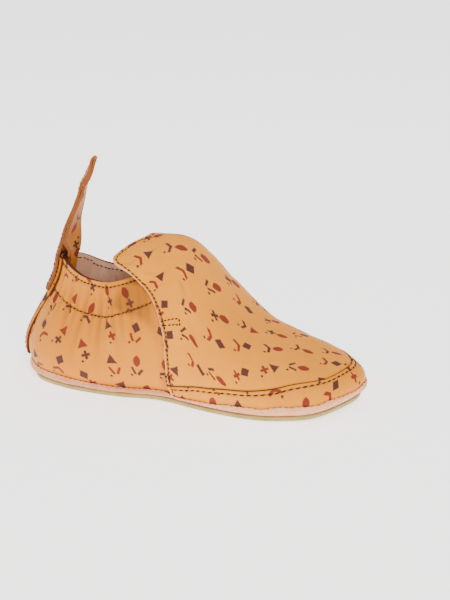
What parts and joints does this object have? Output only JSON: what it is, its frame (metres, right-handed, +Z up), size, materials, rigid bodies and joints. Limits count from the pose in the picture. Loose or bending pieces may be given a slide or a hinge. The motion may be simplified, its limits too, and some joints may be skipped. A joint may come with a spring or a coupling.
{
  "type": "child's soft leather pull-on shoe",
  "caption": "Child's soft leather pull-on shoe, left foot: gathered collar, moccasin toe seam, free tongue flap, heel pull loop and thin cupped sole.",
  "frame": {"origin": "on the floor under the middle of the heel seat", "axes": "+X from the heel to the toe, +Y to the shoe's left, its outer side, +Z up"},
  "size_m": [0.1353, 0.0604, 0.086],
  "materials": {
    "suede_sole": "suede, matt",
    "rose_leather": "soft, matt",
    "lining_leather": "soft, matt",
    "tan_leather": "smooth, soft sheen"
  },
  "bodies": {
    "root": {"outsole": "suede_sole", "foxing": "rose_leather", "insole": "lining_leather", "upper": "tan_leather", "toe_band": "tan_leather", "apron": "tan_leather", "heel_strip": "tan_leather", "pull_loop": "tan_leather"}
  },
  "joints": []
}
